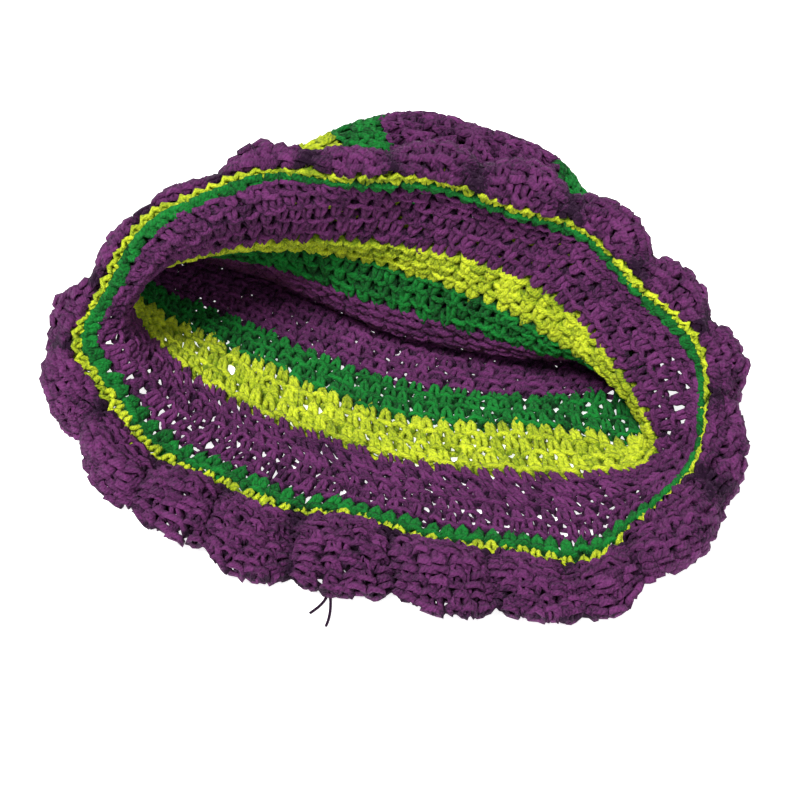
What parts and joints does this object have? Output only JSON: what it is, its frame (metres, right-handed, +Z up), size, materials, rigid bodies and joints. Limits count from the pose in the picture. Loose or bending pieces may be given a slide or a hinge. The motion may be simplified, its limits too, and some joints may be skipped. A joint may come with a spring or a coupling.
{
  "type": "crocheted hat",
  "caption": "Soft crocheted hat in purple, green and lime stripes with a gathered frill, lying on its side with its upper half folded back inside the mouth",
  "frame": {"origin": "middle of the footprint, on the surface that the hat lies on", "axes": "+X to the right when looking into the mouth, -Y out of the mouth, +Z up"},
  "size_m": [0.245, 0.1982, 0.0907],
  "materials": {
    "purple_yarn": "fuzzy twisted yarn, matt",
    "green_yarn": "fuzzy twisted yarn, matt",
    "lime_yarn": "fuzzy twisted yarn, matt"
  },
  "bodies": {
    "root": {"crown_centre": "purple_yarn", "crown_green_stripe": "green_yarn", "crown_lime_stripe": "lime_yarn", "middle_purple_band": "purple_yarn", "side_green_stripe": "green_yarn", "side_lime_stripe": "lime_yarn", "side_purple_band": "purple_yarn", "green_edging": "green_yarn", "lime_edging": "lime_yarn", "ruffle": "purple_yarn"}
  },
  "joints": []
}
